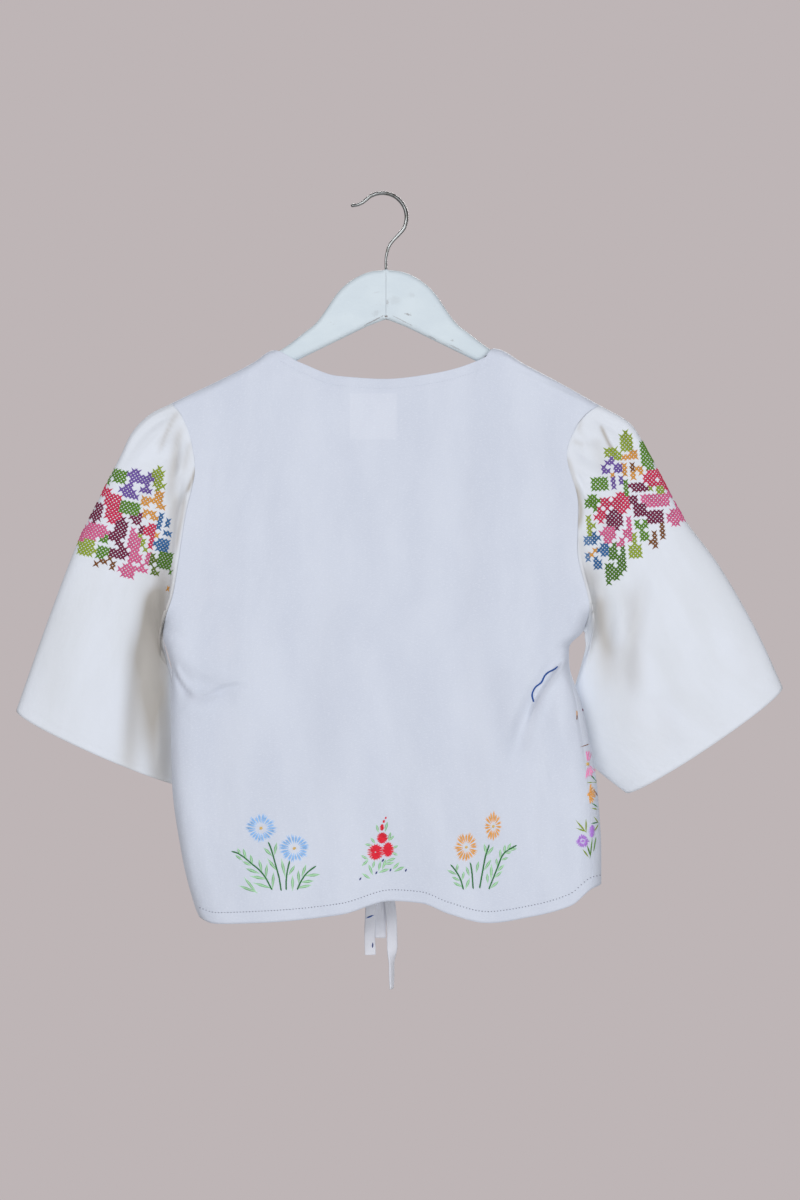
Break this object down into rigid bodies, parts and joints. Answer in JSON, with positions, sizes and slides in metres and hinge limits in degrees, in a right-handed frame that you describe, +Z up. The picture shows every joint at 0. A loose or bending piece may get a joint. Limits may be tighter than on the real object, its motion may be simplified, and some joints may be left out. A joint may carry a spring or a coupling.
{
  "type": "cropped blouse on a wooden hanger",
  "caption": "Cropped tie-front blouse with short flared gathered sleeves, hanging on a painted wooden hanger with a wire hook.",
  "frame": {"origin": "inner top of the hanger's hook, where a rail carries it", "axes": "+Z up, +Y out of the front of the blouse, +X towards the wearer's right"},
  "size_m": [0.7712, 0.09, 0.8028],
  "materials": {
    "body_cloth": "matt plain-weave linen with slubs",
    "sleeve_cloth": "matt ivory cotton with embroidery",
    "label_cloth": "smooth blank woven label",
    "painted_wood": "white painted wood, satin, lightly scuffed",
    "chrome": "bright wire"
  },
  "bodies": {
    "root": {"back": "body_cloth", "front_left": "body_cloth", "front_right": "body_cloth", "sleeve_left": "sleeve_cloth", "sleeve_right": "sleeve_cloth", "neck_facing": "body_cloth", "label": "label_cloth", "tie_knot": "body_cloth", "tie_loop_left": "body_cloth", "tie_loop_right": "body_cloth", "tie_end_left": "body_cloth", "tie_end_right": "body_cloth", "hanger_arm_left": "painted_wood", "hanger_arm_right": "painted_wood", "hanger_hook": "chrome"}
  },
  "joints": []
}
